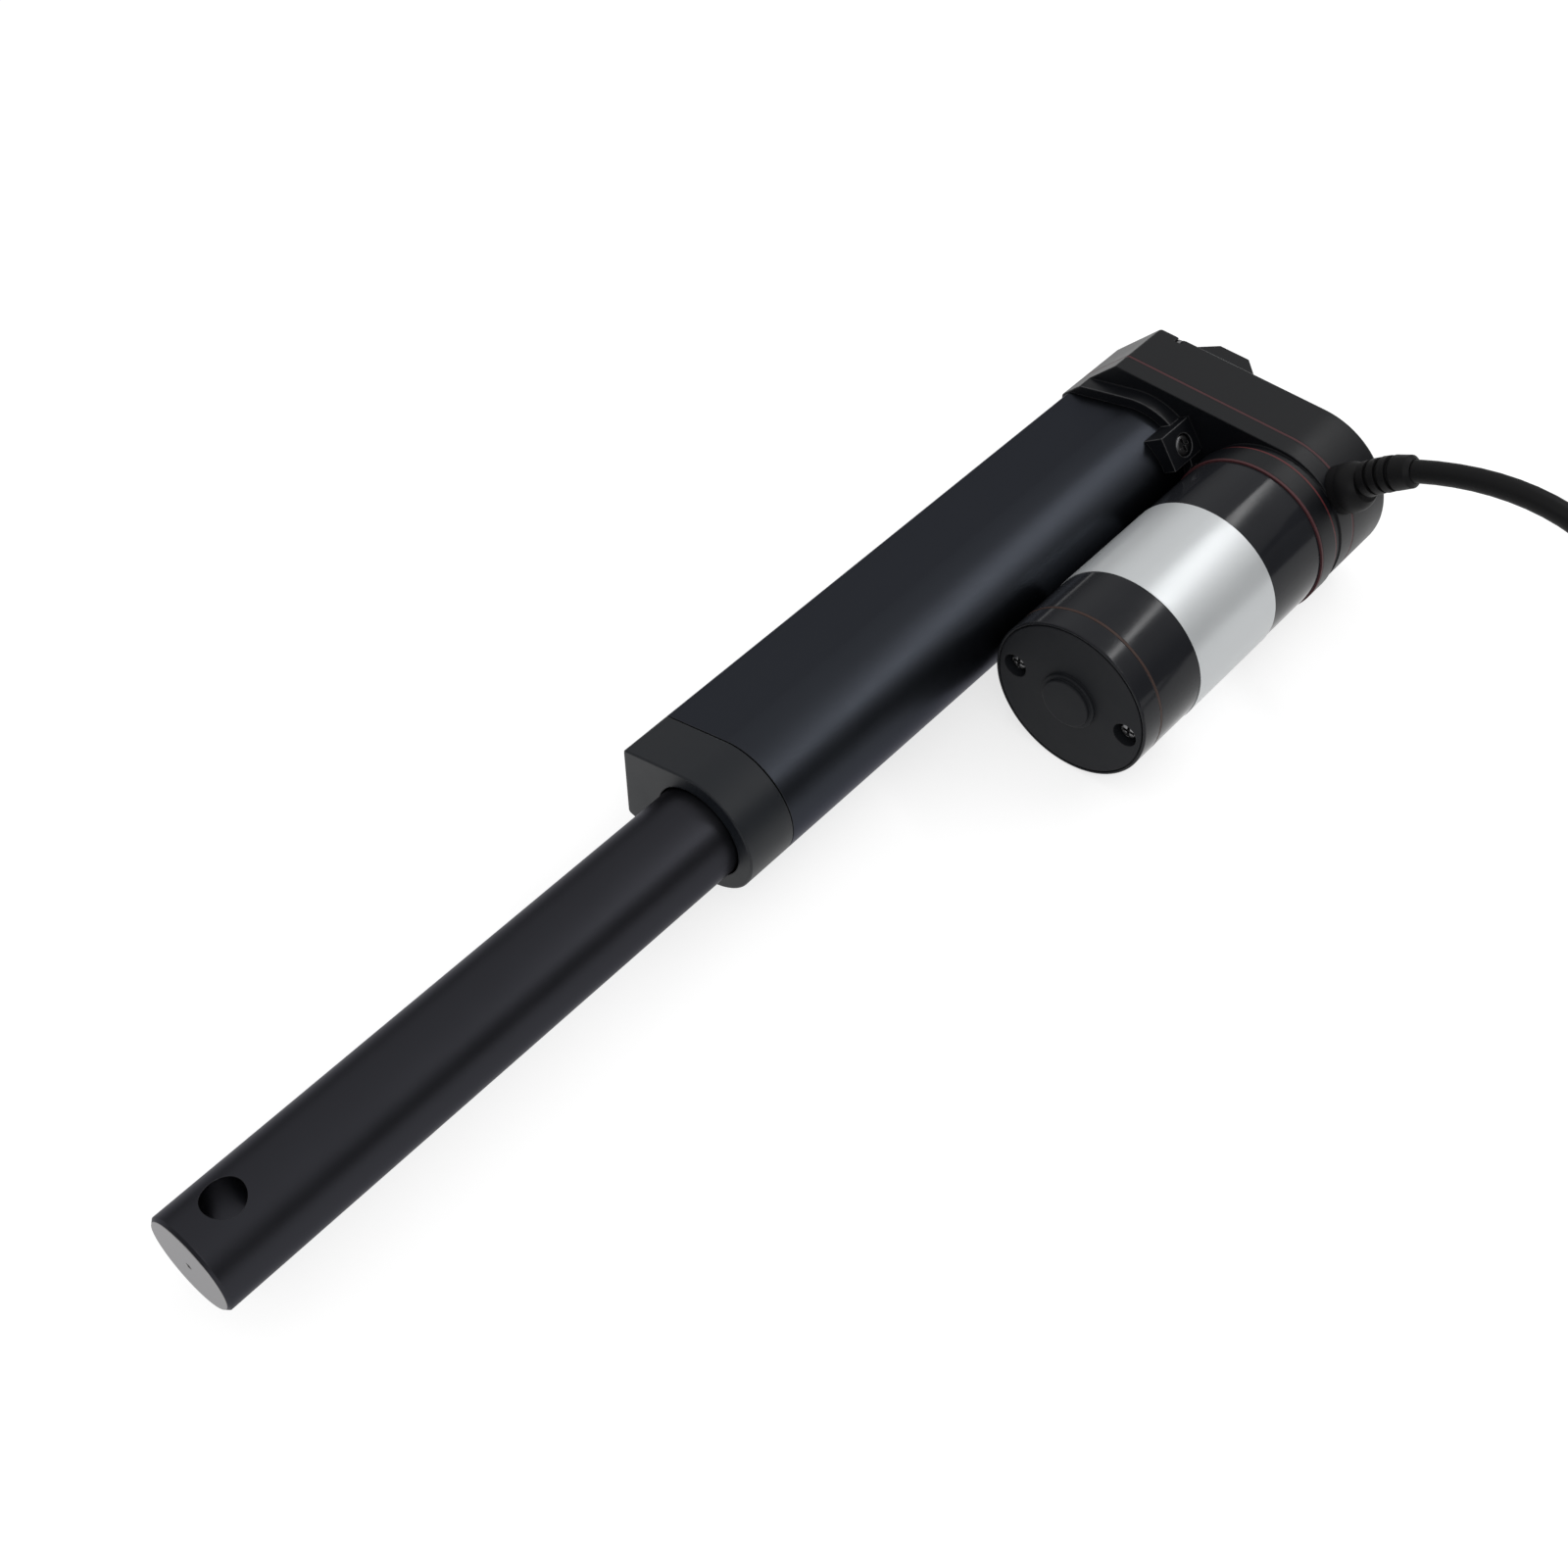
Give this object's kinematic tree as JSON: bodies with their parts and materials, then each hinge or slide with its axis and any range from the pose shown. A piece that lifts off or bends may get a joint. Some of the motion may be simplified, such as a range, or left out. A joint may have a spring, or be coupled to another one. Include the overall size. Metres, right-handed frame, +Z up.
{
  "type": "electric linear actuator",
  "caption": "Parallel-drive electric linear actuator: a motor beside the tube turns a lead screw through a gearbox and drives a round rod with a pin hole at each end.",
  "frame": {"origin": "centre of the rear pivot hole", "axes": "+X along the rod towards its free end, +Y from the rod axis to the motor axis, +Z up along the pivot hole"},
  "size_m": [0.3063, 0.2333, 0.0545],
  "materials": {
    "black_anodised": "satin anodised",
    "black_rod": "satin black",
    "black_case": "satin moulded",
    "black_cap": "matte moulded",
    "red_gasket": "matte",
    "motor_black": "gloss black",
    "label_silver": "satin silver",
    "zinc_steel": "zinc plated",
    "bearing_steel": "ground",
    "gear_plastic": "moulded",
    "bronze": "sintered",
    "black_rubber": "matte",
    "magnet": "sintered",
    "copper": "enamelled",
    "carbon": "matte",
    "board": "board",
    "core_steel": "laminated"
  },
  "bodies": {
    "actuator_body": {"outer_tube": "black_anodised", "front_cap": "black_cap", "rod_guide_bush": "gear_plastic", "rod_wiper_seal": "black_rubber", "gearbox_housing": "black_case", "lock_screw": "zinc_steel", "gearbox_gasket": "red_gasket", "gearbox_cover": "black_case", "cover_screws": "zinc_steel", "motor_mount_screws": "zinc_steel", "idler_pin": "bearing_steel", "screw_front_bearing": "bearing_steel", "screw_rear_bearing": "bearing_steel", "motor_rear_gasket": "red_gasket", "motor_front_gasket": "red_gasket", "motor_end_gasket": "red_gasket", "motor_can": "motor_black", "motor_label": "label_silver", "motor_flange": "black_case", "motor_end_cap": "black_case", "motor_front_bush": "bronze", "motor_end_bush": "bronze", "motor_through_screws": "zinc_steel", "motor_magnets": "magnet", "brush_card": "gear_plastic", "motor_brushes": "carbon", "limit_switch_board": "board", "limit_switches": "black_case", "cable_gland": "black_rubber", "power_cord": "black_rubber", "cord_coil": "black_rubber"},
    "rod": {"piston_rod": "black_rod", "drive_nut": "gear_plastic"},
    "lead_screw": {"lead_screw": "bearing_steel", "screw_gear": "gear_plastic", "screw_circlip": "bearing_steel", "screw_spacer": "bearing_steel"},
    "idler": {"idler_gear": "gear_plastic"},
    "armature": {"motor_shaft": "bearing_steel", "armature_core": "core_steel", "armature_windings": "copper", "commutator": "copper", "motor_pinion": "bronze"}
  },
  "joints": [
    {"name": "rod_slide", "type": "slide", "parent": "actuator_body", "child": "rod", "axis": [1, 0, 0], "range_m": [-0.1, 0]},
    {"name": "motor_spin", "type": "hinge", "parent": "actuator_body", "child": "armature", "pos_m": [0.06, 0.033, 0], "axis": [1, 0, 0], "range_deg": [0, 118750]},
    {"name": "idler_spin", "type": "hinge", "parent": "actuator_body", "child": "idler", "pos_m": [0.017, 0.0175, 0], "axis": [1, 0, 0], "range_deg": [-28500, 0]},
    {"name": "screw_spin", "type": "hinge", "parent": "actuator_body", "child": "lead_screw", "pos_m": [0.08, 0, 0], "axis": [1, 0, 0], "range_deg": [0, 9000]}
  ],
  "couplings": [
    {"joint": "motor_spin", "follows": "rod_slide", "rad_per_m": -20726},
    {"joint": "idler_spin", "follows": "rod_slide", "rad_per_m": 4974.2},
    {"joint": "screw_spin", "follows": "rod_slide", "rad_per_m": -1570.8}
  ]
}
